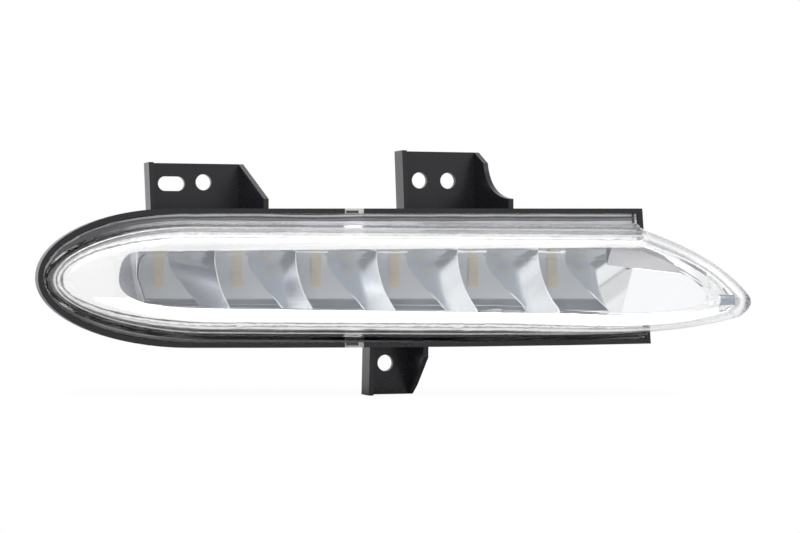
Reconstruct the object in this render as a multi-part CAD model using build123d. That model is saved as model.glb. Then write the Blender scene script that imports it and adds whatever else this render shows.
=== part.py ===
from build123d import *
import os
from math import cos, radians, sin, sqrt, tan

# Daytime running light: a black housing with three screw brackets, a clear lens whose tip wraps
# round the right end, a chrome bezel, and a chrome reflector: a trough lit from above by six LEDs, with
# a slanting divider after each.
#
# The mouldings are drawn in lamp coordinates: u runs along the swept face, depth runs straight back
# from that face (the direction in which every moulding draws), v is up. The finished pieces are then
# moved so that the origin lies midway between the two holes of the middle bracket, on its rear face.

# Driving dimensions, in millimetres and degrees.

# Face and rim of the housing
SWEEP = 18.0
LEFT_REACH = 155.7
RIM_TOP = 29.9
RIM_BOTTOM = 30.1
RIM_ROUND_TOP = 58.0
RIM_ROUND_BOTTOM = 65.4
RIM_END_TOP = 104.2
RIM_END_BOTTOM = 107.9
RIM_END_RISE = 1.9
RIM_DEPTH = 8.4
RIM_WALL = 2.1

# Outline of the lens cap inside the rim
CAP_LEFT_GAP = 5.6
CAP_TOP_GAP = 8.1
CAP_BOTTOM_GAP = 6.0
CAP_TOP_FALL = 1.2
CAP_BOTTOM_FALL = 0.5
CAP_TOP_LEAD = 65.7
CAP_TOP_END = 102.0
CAP_BOTTOM_LEAD = 75.7
CAP_BOTTOM_END = 30.0
TIP_REACH = 146.4
TIP_UPPER = -6.7
TIP_LOWER = -16.6
TIP_SET_BACK = 3.8
MIDDLE_LEVEL = -0.9
CAP_LEFT_PULL = 0.5
CAP_SIDE_PULL = 0.55

# Lens
LENS_WALL = 2.4
LENS_SHOULDER = 6.0
LENS_FRONT = 15.6
LENS_FLARE = 1.8
FLARE_FOOT = 3.0
LIP_RECESS = 0.6
LIP_THICKNESS = 2.4
TONGUE_DEPTH = 5.4
SKIRT_DEPTH = 30.2
TAB_WIDTH = 8.0
TAB_PLACE = -19.6

# Housing body and lens channel
CHANNEL_DEPTH = 6.0
CHANNEL_WALL_TOP = 1.2
BODY_WALL = 2.6
BODY_INSET = 0.1
BODY_DEPTH = 48.0
BODY_BEVEL = 4.0
BODY_BEVEL_INSET = 2.4
FIT = 0.3
TAP_FIT = 0.05

# Bezel and window
BEZEL_EDGE = 2.8
BEZEL_CREST = 8.0
BEZEL_SLOPE_WIDTH = 1.9
BEZEL_PROFILE = ((0.0, 0.0), (0.4, 0.25), (0.75, 0.6))
BEZEL_WALL = 1.8
BEZEL_FOOT = 1.0
BEZEL_HOLLOW = 2.5
CREST_WIDTH = 0.5
CREST_RISE = 53.0
WINDOW_DEPTH = 5.5
WINDOW_TAPER_WIDTH = 0.6
WINDOW_LEFT_FACE = 28.3
WINDOW_TOP_FACE = 10.4
WINDOW_TOP_FACE_RIGHT = 7.3
WINDOW_BOTTOM_FACE = 9.1
WINDOW_BOTTOM_FACE_LEFT = 10.6
WINDOW_TIP_FACE = 9.4
WINDOW_TIP_LIFT = 4.9
WINDOW_LEFT_CORNER = 10.8
WINDOW_TIP_SHIFT = 1.5
WINDOW_BOTTOM_SHIFT = 30.0
WINDOW_LEFT_PULL = 0.8
WINDOW_SIDE_PULL = 0.6
WINDOW_BACK = 6.0
PIN_RADIUS = 2.4
PIN_INSET = 13.0
PIN_DROP = 2.6
PIN_FRONT = 7.5
PIN_LENGTH = 7.0

# Reflector: places in the trough are measured along the face from a cell's middle; a divider's corners
# also by how far they stand forward of the trough's back
CELLS = 6
FIRST_CELL_INSET = 24.75
LAST_CELL_INSET = 24.25
FOCAL_LENGTH = 5.3
FOCUS_DROP = 2.0
TROUGH_CLEARANCE = 7.8
REFLECTOR_WALL = 1.8
DIVIDER_CORNERS = ((5.45, 0.1, 10.0), (21.7, 19.1, 12.3), (24.55, 29.6, -10.6))
DIVIDER_RIDGE = ((21.7, 14.0), (20.6, -6.0), (27.6, -16.0))
DIVIDER_SET_BACK = 3.6
CEILING_LIFT = 5.0
ROOF_DEPTH = 10.0
FLANGE_DEPTH = 3.0
END_DEPTH = 12.0
END_WIDTH = 12.0
END_LINE_LEFT = 5.7
END_LINE_FALL = 6.3
END_CEILING_RISE = 9.0
EAR_INSET = 22.7
EAR_SPACING = 11.0
EAR_THICKNESS = 2.4
BOSS_RADIUS = 3.4

# LED board and what it carries
BOARD_LEVEL = 13.0
BOARD_THICKNESS = 1.6
BOARD_INSET = 47.7
BOARD_END_GAP = 5.2
BOARD_CLEARANCE = 2.4
LED_SIZE = 4.6
LED_HEIGHT = 1.0
LED_BASE = 0.5
PHOSPHOR_SIZE = 4.0
PAD_THICKNESS = 0.3
SINK_MARGIN = 5.0
SINK_BASE = 1.0
SINK_HEIGHT = 1.6
SINK_SET_BACK = 10.0
SINK_WIDTH = 10.5
FIN_COUNT = 5
FIN_THICKNESS = 1.0
POST_RADIUS = 3.0
POST_ROOT = 11.0
POST_INSET = 3.5
POST_FORWARD = 1.1
POST_CELLS = (0, 2, 4)
CHIP_SIZE = 6.0
CHIP_HEIGHT = 1.2
COIL_SIZE = 7.0
COIL_HEIGHT = 2.4
COIL_CHAMFER = 1.4
CHIP_CELL = 2.0
COIL_CELL = 1.5
RESISTOR_CELL = 0.25
RESISTOR_LENGTH = 3.2
RESISTOR_WIDTH = 1.6
RESISTOR_HEIGHT = 0.6
PART_SET_BACK = 5.0
HEADER_LENGTH = 5.0
HEADER_WIDTH = 7.0
HEADER_HEIGHT = 2.0
LEAD_RADIUS = 0.7
LEAD_SPACING = 3.0
LEAD_BEND = 2.0
LEAD_RUN = 6.0
LEAD_DROP = 2.6
SCREW_RADIUS = 1.1
SCREW_HEAD_RADIUS = 2.3
SCREW_HEAD_HEIGHT = 1.5
SCREW_LENGTH = 8.0

# Brackets: a plate's right edge is a world x, its height is measured from the rim's edge
UPPER_PLATE_FORWARD = 2.0
LOWER_PLATE_DEPTH = 29.0
PLATE = 2.6
PLATE_LEAN = 1.3
PLATE_ROOT = 1.4
SIDE_WALL = 2.2
SIDE_DEPTH = 8.5
GUSSET_TOE = 4.4
GUSSET_FLARE = 2.0
LEFT_PLATE_RIGHT = -55.8
LEFT_PLATE_WIDTH = 42.5
LEFT_PLATE_HEIGHT = 21.1
LEFT_WEB_SHOULDER = (0.1, 0.1)
MIDDLE_PLATE_RIGHT = 45.2
MIDDLE_PLATE_WIDTH = 36.8
MIDDLE_PLATE_HEIGHT = 26.4
MIDDLE_WEB_SHOULDER = (0.27, 0.24)
MIDDLE_WEB_HOLLOW = 0.75
LOWER_PLATE_RIGHT = 11.9
LOWER_PLATE_WIDTH = 20.8
LOWER_PLATE_HEIGHT = 21.3
LOWER_WEB_SHOULDER = (0.33, 0.27)
HOLE_RADIUS = 3.6
LEFT_HOLE_INSET = 15.9
LEFT_HOLE_RISE = 12.8
LEFT_SLOT_INSET = 30.5
LEFT_SLOT_RISE = 12.0
SLOT_LENGTH = 12.2
SLOT_WIDTH = 6.5
MIDDLE_HOLES_INSET = 19.1
MIDDLE_HOLES_RISE = 13.5
HOLE_SPACING = 13.4
LOWER_HOLE_INSET = 10.5
LOWER_HOLE_RISE = 7.5

# Connector, vent and back ribs
SOCKET_INSET = 34.7
SOCKET_LEVEL = -3.0
SOCKET_WIDTH = 20.0
SOCKET_HEIGHT = 13.0
SOCKET_WALL = 1.8
SOCKET_LENGTH = 18.0
SOCKET_CORNER = 2.0
LATCH_WIDTH = 6.0
LATCH_LENGTH = 3.0
LATCH_HEIGHT = 1.6
LATCH_SET_BACK = 4.0
TERMINAL_PITCH = 6.0
TERMINAL_WIDTH = 2.2
TERMINAL_THICKNESS = 0.8
TERMINAL_TAIL = 3.0
TERMINAL_REACH = 11.0
VENT_PLACE = 62.0
VENT_LEVEL = 4.0
VENT_RADIUS = 4.5
VENT_BORE = 2.5
VENT_LENGTH = 8.0
MEMBRANE = 0.4
VENT_CAP_WALL = 1.8
VENT_CAP_START = 3.2
RIB_HEIGHT = 2.5
RIB_THICKNESS = 1.6
RIB_LEVELS = (9.5, -13.5)
RIB_MARGIN = 20.0

SIN = sin(radians(SWEEP))
COS = cos(radians(SWEEP))
TAN = tan(radians(SWEEP))
FAR = 400.0
CUT = 1.0
STRAIGHT_BACK = (0, 1, 0)
UP = (0, 0, 1)
LOW_END = (Align.CENTER, Align.CENTER, Align.MIN)


def at(u, depth, v):
    """World point of lamp coordinates: along the swept face, straight back, up."""
    return (u * COS, depth - u * SIN, v)


def face_plane(depth):
    """Plane parallel to the swept face, moved straight back by depth."""
    return Plane(origin=(0, depth, 0), x_dir=(COS, -SIN, 0), z_dir=(-SIN, -COS, 0))


def prism(sketch, front, back):
    """Solid carried straight back from one depth to another, with ends parallel to the face."""
    return extrude(face_plane(front) * sketch, amount=back - front, dir=STRAIGHT_BACK)


def skin(sections, ruled=False):
    """Solid through sketches at given depths."""
    return loft([face_plane(depth) * sketch for depth, sketch in sections], ruled=ruled)


def block(low, high):
    """Box between two world corners."""
    size = [high[i] - low[i] for i in range(3)]
    return Pos(*low) * Box(*size, align=(Align.MIN, Align.MIN, Align.MIN))


def rod(start, end, x, z, radius):
    """Cylinder along Y between two world depths."""
    return Pos(x, start, z) * Rot(-90, 0, 0) * Cylinder(radius, end - start, align=LOW_END)


def post(bottom, top, x, y, radius):
    """Upright cylinder between two levels."""
    return Pos(x, y, bottom) * Cylinder(radius, top - bottom, align=LOW_END)


def slab(left, right, front, back, bottom, top):
    """Level slab whose long edges follow the swept face."""
    plan = ((left, front), (right, front), (right, back), (left, back))
    corners = [at(u, depth, bottom) for u, depth in plan]
    return extrude(make_face(Polyline(*corners, close=True)), amount=top - bottom, dir=UP)


def joined(solids):
    """Union of a list of solids."""
    total = solids[0]
    for solid in solids[1:]:
        total += solid
    return total


def heading(angle):
    return Vector(cos(radians(angle)), sin(radians(angle)))


def turn(start, start_angle, end, end_angle, pull):
    """Smooth curve between two points with given headings."""
    start = Vector(*start)
    end = Vector(*end)
    reach = pull * (end - start).length
    return Bezier(start, start + heading(start_angle) * reach, end - heading(end_angle) * reach, end)


# Anchor points of the lens cap and of the window, clockwise from the left end, and the way an anchor
# travels for every millimetre that its outline is drawn further in.
CAP_LEFT = CAP_LEFT_GAP - LEFT_REACH
CAP_TOP_START = CAP_TOP_LEAD - LEFT_REACH
CAP_BOTTOM_START = CAP_BOTTOM_LEAD - LEFT_REACH
CAP_TOP = RIM_TOP - CAP_TOP_GAP
CAP_BOTTOM = CAP_BOTTOM_GAP - RIM_BOTTOM
CAP_ANCHORS = {
    "left": (CAP_LEFT, MIDDLE_LEVEL),
    "top_left": (CAP_TOP_START, CAP_TOP),
    "top_right": (CAP_TOP_END, CAP_TOP - CAP_TOP_FALL),
    "tip_upper": (TIP_REACH, TIP_UPPER),
    "tip_lower": (TIP_REACH - TIP_SET_BACK, TIP_LOWER),
    "bottom_right": (CAP_BOTTOM_END, CAP_BOTTOM),
    "bottom_left": (CAP_BOTTOM_START, CAP_BOTTOM + CAP_BOTTOM_FALL),
}
INWARD = {
    "left": (1.0, 0.0),
    "top_left": (0.0, -1.0),
    "top_right": (-0.32, -1.0),
    "tip_upper": (-1.39, -0.064),
    "tip_lower": (-1.208, 0.408),
    "bottom_right": (0.0, 1.0),
    "bottom_left": (0.0, 1.0),
}
WINDOW_LEFT = CAP_LEFT + WINDOW_LEFT_FACE
WINDOW_ANCHORS = {
    "left": (WINDOW_LEFT, MIDDLE_LEVEL),
    "top_left": (WINDOW_LEFT + WINDOW_LEFT_CORNER, CAP_TOP - WINDOW_TOP_FACE),
    "top_right": (CAP_TOP_END + WINDOW_TIP_SHIFT, CAP_TOP - CAP_TOP_FALL - WINDOW_TOP_FACE_RIGHT),
    "tip_upper": (TIP_REACH - WINDOW_TIP_FACE, TIP_UPPER),
    "tip_lower": (TIP_REACH - WINDOW_TIP_FACE - WINDOW_TIP_SHIFT, TIP_LOWER + WINDOW_TIP_LIFT),
    "bottom_right": (CAP_BOTTOM_END + WINDOW_BOTTOM_SHIFT, CAP_BOTTOM + WINDOW_BOTTOM_FACE),
    "bottom_left": (CAP_BOTTOM_START, CAP_BOTTOM + CAP_BOTTOM_FALL + WINDOW_BOTTOM_FACE_LEFT),
}

# Headings of the outlines round the tip, and how far each curve keeps to its headings
TIP_LEAVE = -20.0
TIP_ENTER = -50.0
TIP_RETURN = 212.0
BELLY_LEAVE = 197.0
BELLY_ENTER = 181.0
TIP_SIDE_PULL = 0.35
TIP_ROUND_PULL = 0.47
BELLY_PULL = 0.3
ROUND = 90.0


def leaf(anchors, inset, rise, left_pull, side_pull):
    """Closed outline: round or pointed left end, straight long sides, swept tip at the right."""
    place = {}
    for name, (u, v) in anchors.items():
        du, dv = INWARD[name]
        place[name] = Vector(u + inset * du, v + inset * dv)
    left = place["left"]
    up = place["top_left"] - left
    down = place["bottom_left"] - left
    edges = [
        Bezier(left, left + heading(rise) * (left_pull * up.Y),
               place["top_left"] - Vector(side_pull * up.X, 0), place["top_left"]),
        Line(place["top_left"], place["top_right"]),
        turn(place["top_right"], TIP_LEAVE, place["tip_upper"], TIP_ENTER, TIP_SIDE_PULL),
        turn(place["tip_upper"], TIP_ENTER, place["tip_lower"], TIP_RETURN, TIP_ROUND_PULL),
        turn(place["tip_lower"], BELLY_LEAVE, place["bottom_right"], BELLY_ENTER, BELLY_PULL),
        Line(place["bottom_right"], place["bottom_left"]),
        Bezier(place["bottom_left"], place["bottom_left"] - Vector(side_pull * down.X, 0),
               left + heading(-rise) * (-left_pull * down.Y), left),
    ]
    return make_face(edges)


def cap(inset, rise=ROUND):
    """Outline of the lens cap, drawn in by an inset."""
    return leaf(CAP_ANCHORS, inset, rise, CAP_LEFT_PULL, CAP_SIDE_PULL)


def window(inset=0.0):
    """Outline of the bezel's window, squarer at the left than the cap."""
    return leaf(WINDOW_ANCHORS, inset, ROUND, WINDOW_LEFT_PULL, WINDOW_SIDE_PULL)


def rim(inset=0.0):
    """Outline of the rim: two quarter ellipses at the left, square at the right."""
    left = Vector(inset - LEFT_REACH, 0)
    top_left = Vector(RIM_ROUND_TOP - LEFT_REACH + 2 * inset, RIM_TOP - inset)
    bottom_left = Vector(RIM_ROUND_BOTTOM - LEFT_REACH + 2 * inset, inset - RIM_BOTTOM)
    top_right = Vector(RIM_END_TOP - inset, RIM_TOP - inset)
    bottom_right = Vector(RIM_END_BOTTOM - inset, inset - RIM_BOTTOM + RIM_END_RISE)
    bottom_middle = Vector(CAP_BOTTOM_END, inset - RIM_BOTTOM)
    ellipse_pull = 4 / 3 * (sqrt(2) - 1)
    up = top_left - left
    down = bottom_left - left
    edges = [
        Bezier(left, left + Vector(0, ellipse_pull * up.Y),
               top_left - Vector(ellipse_pull * up.X, 0), top_left),
        Line(top_left, top_right),
        Line(top_right, bottom_right),
        Bezier(bottom_right, bottom_middle, bottom_left),
        Bezier(bottom_left, bottom_left - Vector(ellipse_pull * down.X, 0),
               left + Vector(0, ellipse_pull * down.Y), left),
    ]
    return make_face(edges)


def beyond_end(offset):
    """Everything to the right of the rim's end line, moved right by an offset."""
    lean = (RIM_END_BOTTOM - RIM_END_TOP) / (RIM_TOP + RIM_BOTTOM - RIM_END_RISE)
    top_u = RIM_END_TOP - lean * (FAR - RIM_TOP) + offset
    bottom_u = RIM_END_TOP + lean * (FAR + RIM_TOP) + offset
    return make_face(Polyline((top_u, FAR), (FAR, FAR), (FAR, -FAR), (bottom_u, -FAR), close=True))


# Insets from the lens cap's outline that the mouldings share, and the end of the lens channel
TONGUE_BORE = LENS_WALL - LENS_FLARE
CHANNEL_INNER = TONGUE_BORE + FIT
BODY_INNER = BODY_INSET + BODY_WALL
TIP_CORE = LENS_WALL + FIT
TIP_INNER = TIP_CORE + BODY_WALL
BODY_FLOOR = BODY_DEPTH - BODY_WALL
UPPER_PLATE_DEPTH = BODY_DEPTH - UPPER_PLATE_FORWARD
LIP_BACK = LIP_RECESS + LIP_THICKNESS
LENS_END = -RIM_WALL - FIT
POCKET_END = LENS_END - FIT

# Rounding of the lens front: inset at each share of the crown's height
CROWN_PROFILE = ((0.0, 0.0), (0.9, 0.37), (2.8, 0.68), (6.2, 0.9), (12.5, 1.0))
INNER_CROWN = 0.82


def make_lens():
    """Clear cap with a lip and tongue in the channel, two tabs, and a deep skirt round the tip."""
    crown = LENS_FRONT - LENS_SHOULDER
    outer = skin([(-LENS_SHOULDER - share * crown, cap(inset)) for inset, share in CROWN_PROFILE])
    inner_shoulder = LENS_SHOULDER - FIT
    inner_crown = crown - LENS_WALL + FIT
    inner = skin([(-inner_shoulder - share * inner_crown, cap(LENS_WALL + inset * INNER_CROWN))
                  for inset, share in CROWN_PROFILE])
    channel = rim(RIM_WALL + FIT)
    inside_rim = prism(channel - beyond_end(LENS_END), -LENS_FRONT, SKIRT_DEPTH)
    flare = skin([(LIP_RECESS, cap(-FLARE_FOOT)), (-LENS_SHOULDER, cap(0.0))], ruled=True)
    flare_bore = skin([(LIP_RECESS, cap(TONGUE_BORE)), (-LENS_SHOULDER, cap(LENS_WALL))], ruled=True)
    tongue = prism(cap(-LENS_FLARE) - cap(TONGUE_BORE), LIP_RECESS, TONGUE_DEPTH)
    lip = prism(channel - cap(TONGUE_BORE) - beyond_end(LENS_END), LIP_RECESS, LIP_BACK)
    rooted = ((flare - flare_bore) & inside_rim) + (tongue & inside_rim) + lip
    skirt = prism((cap(0.0) - cap(LENS_WALL)) & beyond_end(LENS_END), -LENS_SHOULDER, SKIRT_DEPTH)
    tab = Pos(TAB_PLACE, 0) * Rectangle(TAB_WIDTH - 2 * FIT, FAR)
    tabs = prism((rim() - cap(-LENS_FLARE)) & tab, LIP_RECESS, LIP_BACK)
    return (outer - inner) + rooted + skirt + tabs


def make_lens_seal():
    """Bed of sealant on the channel's floor, under the lens's tongue."""
    ring = rim(RIM_WALL) - cap(CHANNEL_INNER)
    return prism(ring - beyond_end(POCKET_END), TONGUE_DEPTH, CHANNEL_DEPTH)


def bracket(right, width, height, depth, below=False, lean=PLATE_LEAN, flare=GUSSET_FLARE,
            shoulder=LEFT_WEB_SHOULDER, hollow=0.0):
    """Plate square to the draw, with a shallow wall on its left edge and a web that runs from its right
    edge to the rim. The web's edge falls over a shoulder (shares of its run and fall) to a low toe, and
    is hollowed between them."""
    side = -1 if below else 1
    rim_edge = -RIM_BOTTOM if below else RIM_TOP
    root = CAP_BOTTOM + PLATE_ROOT if below else CAP_TOP - PLATE_ROOT
    end = rim_edge + side * height
    toe = rim_edge + side * GUSSET_TOE
    front = depth - right * TAN
    back = front + PLATE
    foot = RIM_DEPTH - CUT - right * TAN
    left = right - width
    foot_left = left + lean
    outline = Polyline((foot_left, root), (left, end), (right + SIDE_WALL, end), (right + SIDE_WALL, root),
                       close=True)
    edge = Polyline((foot_left, root), (left, end), (left + SIDE_WALL, end), (foot_left + SIDE_WALL, root),
                    close=True)
    plate = Pos(0, front, 0) * extrude(Plane.XZ * make_face(outline), amount=PLATE, dir=STRAIGHT_BACK)
    wall = Pos(0, front - SIDE_DEPTH, 0) * extrude(
        Plane.XZ * make_face(edge), amount=SIDE_DEPTH + PLATE, dir=STRAIGHT_BACK)
    run = front - foot
    knee = Vector(front - shoulder[0] * run, end - shoulder[1] * (end - toe))
    middle = (knee + Vector(foot, toe)) / 2
    pull = middle + (Vector(knee.X, toe) - middle) * hollow
    profile = make_face([
        Polyline((foot, toe), (foot, root), (back, root), (back, end), (front, end), knee),
        Bezier(knee, pull, Vector(foot, toe)),
    ])
    sheet = Pos(right - FAR / 2, 0, 0) * extrude(Plane.YZ * profile, amount=FAR, dir=(1, 0, 0))
    plan = Polyline((right + flare, foot), (right + flare + SIDE_WALL, foot), (right + SIDE_WALL, back),
                    (right, back), close=True)
    strip = Pos(0, 0, -FAR / 2) * extrude(make_face(plan), amount=FAR, dir=UP)
    return plate + wall + (sheet & strip)


def through(right, inset, rise, depth, below=False):
    """World x, front depth and level of a hole in a bracket's plate."""
    level = -RIM_BOTTOM - rise if below else RIM_TOP + rise
    return right - inset, depth - right * TAN, level


def make_brackets():
    left = bracket(LEFT_PLATE_RIGHT, LEFT_PLATE_WIDTH, LEFT_PLATE_HEIGHT, UPPER_PLATE_DEPTH)
    middle = bracket(MIDDLE_PLATE_RIGHT, MIDDLE_PLATE_WIDTH, MIDDLE_PLATE_HEIGHT, UPPER_PLATE_DEPTH,
                     shoulder=MIDDLE_WEB_SHOULDER, hollow=MIDDLE_WEB_HOLLOW)
    lower = bracket(LOWER_PLATE_RIGHT, LOWER_PLATE_WIDTH, LOWER_PLATE_HEIGHT, LOWER_PLATE_DEPTH, below=True,
                    lean=PLATE_LEAN / 2, flare=0.0, shoulder=LOWER_WEB_SHOULDER)
    x, front, z = through(LEFT_PLATE_RIGHT, LEFT_HOLE_INSET, LEFT_HOLE_RISE, UPPER_PLATE_DEPTH)
    left -= rod(front - CUT, front + PLATE + CUT, x, z, HOLE_RADIUS)
    x, front, z = through(LEFT_PLATE_RIGHT, LEFT_SLOT_INSET, LEFT_SLOT_RISE, UPPER_PLATE_DEPTH)
    left -= Pos(x, front - CUT, z) * extrude(
        Plane.XZ * SlotOverall(SLOT_LENGTH, SLOT_WIDTH), amount=PLATE + 2 * CUT, dir=STRAIGHT_BACK)
    x, front, z = through(MIDDLE_PLATE_RIGHT, MIDDLE_HOLES_INSET, MIDDLE_HOLES_RISE, UPPER_PLATE_DEPTH)
    for offset in (-HOLE_SPACING / 2, HOLE_SPACING / 2):
        middle -= rod(front - CUT, front + PLATE + CUT, x + offset, z, HOLE_RADIUS)
    x, front, z = through(LOWER_PLATE_RIGHT, LOWER_HOLE_INSET, LOWER_HOLE_RISE, LOWER_PLATE_DEPTH, below=True)
    lower -= rod(front - CUT, front + PLATE + CUT, x, z, HOLE_RADIUS)
    return left + middle + lower


# Connector socket: its floor is level with the back of the body at the socket's middle
SOCKET_PLACE = SOCKET_INSET - LEFT_REACH
SOCKET_X, SOCKET_BACK, SOCKET_Z = at(SOCKET_PLACE, BODY_DEPTH, SOCKET_LEVEL)
SOCKET_START = SOCKET_BACK - BODY_WALL
SOCKET_END = SOCKET_BACK + SOCKET_LENGTH


def socket_shroud():
    outline = Plane.XZ * RectangleRounded(SOCKET_WIDTH, SOCKET_HEIGHT, SOCKET_CORNER)
    shroud = Pos(SOCKET_X, SOCKET_START, SOCKET_Z) * extrude(
        outline, amount=SOCKET_END - SOCKET_START, dir=STRAIGHT_BACK)
    top = SOCKET_Z + SOCKET_HEIGHT / 2
    latch_end = SOCKET_END - LATCH_SET_BACK
    latch = block((SOCKET_X - LATCH_WIDTH / 2, latch_end - LATCH_LENGTH, top - SOCKET_WALL),
                  (SOCKET_X + LATCH_WIDTH / 2, latch_end, top + LATCH_HEIGHT))
    return shroud + latch


def socket_bore():
    outline = Plane.XZ * RectangleRounded(SOCKET_WIDTH - 2 * SOCKET_WALL, SOCKET_HEIGHT - 2 * SOCKET_WALL,
                                          SOCKET_CORNER / 2)
    return Pos(SOCKET_X, SOCKET_BACK, SOCKET_Z) * extrude(
        outline, amount=SOCKET_END - SOCKET_BACK + CUT, dir=STRAIGHT_BACK)


def terminal_x(index):
    return SOCKET_X + (index - 0.5) * TERMINAL_PITCH


TAIL_FRONT = SOCKET_START - TERMINAL_TAIL


def make_terminal(index):
    """Flat blade moulded into the socket's floor, with a tail inside the body."""
    x = terminal_x(index)
    return block((x - TERMINAL_WIDTH / 2, TAIL_FRONT, SOCKET_Z - TERMINAL_THICKNESS / 2),
                 (x + TERMINAL_WIDTH / 2, SOCKET_BACK + TERMINAL_REACH, SOCKET_Z + TERMINAL_THICKNESS / 2))


# Breather on the back
VENT_X, VENT_BACK, VENT_Z = at(VENT_PLACE, BODY_DEPTH, VENT_LEVEL)
VENT_END = VENT_BACK + VENT_LENGTH


def make_vent_membrane():
    return rod(VENT_END, VENT_END + MEMBRANE, VENT_X, VENT_Z, VENT_RADIUS)


def make_vent_cap():
    """Cup pressed over the breather's spigot, with notches round its open edge."""
    start = VENT_BACK + VENT_CAP_START
    top = VENT_END + MEMBRANE
    radius = VENT_RADIUS + VENT_CAP_WALL
    cup = rod(start, top + VENT_CAP_WALL, VENT_X, VENT_Z, radius)
    cup -= rod(start - CUT, top, VENT_X, VENT_Z, VENT_RADIUS + TAP_FIT)
    for angle in (0, 90):
        notch = Box(4 * VENT_RADIUS, VENT_CAP_WALL, VENT_CAP_WALL)
        cup -= Pos(VENT_X, start, VENT_Z) * Rot(0, angle, 0) * notch
    return cup


EAR_PLACE = EAR_INSET - LEFT_REACH
EAR_BACK = at(WINDOW_LEFT, WINDOW_BACK + FLANGE_DEPTH, 0)[1]
EAR_FRONT = EAR_BACK - EAR_THICKNESS


def ear_screw_places():
    """World x and level of the two screws in the reflector's ear."""
    return [(EAR_PLACE * COS, MIDDLE_LEVEL + offset) for offset in (-EAR_SPACING / 2, EAR_SPACING / 2)]


def make_bosses():
    """Two posts on the body's floor that carry the reflector's ear."""
    bosses = []
    floor = at(EAR_PLACE, BODY_DEPTH - BODY_WALL / 2, 0)[1]
    for x, z in ear_screw_places():
        bosses.append(rod(EAR_BACK, floor, x, z, BOSS_RADIUS)
                      - rod(EAR_BACK - CUT, EAR_BACK + SCREW_LENGTH, x, z, SCREW_RADIUS + TAP_FIT))
    return joined(bosses)


def make_ribs():
    """Two stiffening ribs along the back, between the socket and the breather."""
    start = SOCKET_PLACE + SOCKET_WIDTH
    length = VENT_PLACE - RIB_MARGIN - start
    strips = [Pos(start + length / 2, level) * Rectangle(length, RIB_THICKNESS) for level in RIB_LEVELS]
    return joined([prism(strip, BODY_DEPTH - CUT, BODY_DEPTH + RIB_HEIGHT) for strip in strips])


def make_housing():
    """Black body: deep shell, rim with the lens channel, brackets, socket, breather and bosses."""
    straight = BODY_DEPTH - BODY_BEVEL
    body = prism(rim(), 0, RIM_DEPTH)
    body += prism(cap(BODY_INSET), RIM_WALL, straight)
    body += skin([(straight, cap(BODY_INSET)), (BODY_DEPTH, cap(BODY_INSET + BODY_BEVEL_INSET))], ruled=True)
    body -= prism((cap(-FIT) - cap(TIP_CORE)) & beyond_end(POCKET_END), -CUT, SKIRT_DEPTH)
    body += make_brackets()
    body += make_ribs()
    body -= prism(cap(BODY_INNER) - beyond_end(-RIM_WALL - BODY_WALL), CHANNEL_WALL_TOP, BODY_FLOOR)
    body -= prism(cap(TIP_INNER), CHANNEL_WALL_TOP, BODY_FLOOR)
    body -= prism(cap(CHANNEL_INNER), -CUT, CHANNEL_WALL_TOP)
    body -= prism(rim(RIM_WALL) - cap(CHANNEL_INNER) - beyond_end(-RIM_WALL), -CUT, CHANNEL_DEPTH)
    notch = Pos(TAB_PLACE, 0) * Rectangle(TAB_WIDTH, FAR)
    body -= prism((rim(-CUT) - cap(0.0)) & notch, -CUT, LIP_BACK)
    body += socket_shroud() + rod(VENT_BACK - BODY_WALL / 2, VENT_END, VENT_X, VENT_Z, VENT_RADIUS)
    body += make_bosses()
    body -= socket_bore() + make_terminal(0) + make_terminal(1)
    body -= rod(VENT_BACK - 2 * BODY_WALL, VENT_END + CUT, VENT_X, VENT_Z, VENT_BORE)
    return body


# Cells, and the LEDs at the focal line of the trough
FIRST_CELL = WINDOW_LEFT + FIRST_CELL_INSET
CELL_PITCH = (RIM_END_TOP - LAST_CELL_INSET - FIRST_CELL) / (CELLS - 1)
FOCUS_LEVEL = BOARD_LEVEL - FOCUS_DROP
BOARD_LEFT = BOARD_INSET - LEFT_REACH
TROUGH_DEPTH = BODY_FLOOR - TROUGH_CLEARANCE
ROOF_BACK = WINDOW_BACK + ROOF_DEPTH
LED_DEPTH = TROUGH_DEPTH - FOCAL_LENGTH / COS - LED_SIZE / 2


def cell_u(index):
    return FIRST_CELL + index * CELL_PITCH


def trough(wall):
    """Hollow along the whole face, widened by a wall: upright at the LEDs' level, then a parabola about them
    until it lies at 45 degrees below them, then a straight ramp to the front."""
    slant = wall / sqrt(2)
    back = TROUGH_DEPTH + wall
    knee = TROUGH_DEPTH - FOCAL_LENGTH / COS + slant
    knee_level = FOCUS_LEVEL - 2 * FOCAL_LENGTH - slant
    bend_level = knee_level + (back - knee) * COS
    bottom = -RIM_BOTTOM - wall
    front = knee - (knee_level - bottom) / COS
    top = BOARD_LEVEL + CEILING_LIFT
    section = make_face([
        Bezier((knee, knee_level), (back, bend_level), (back, FOCUS_LEVEL)),
        Polyline((back, FOCUS_LEVEL), (back, top), (front, top), (front, bottom), (knee, knee_level)),
    ])
    return Pos(-FAR * COS, FAR * SIN, 0) * extrude(Plane.YZ * section, amount=2 * FAR, dir=(COS, -SIN, 0))


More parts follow.
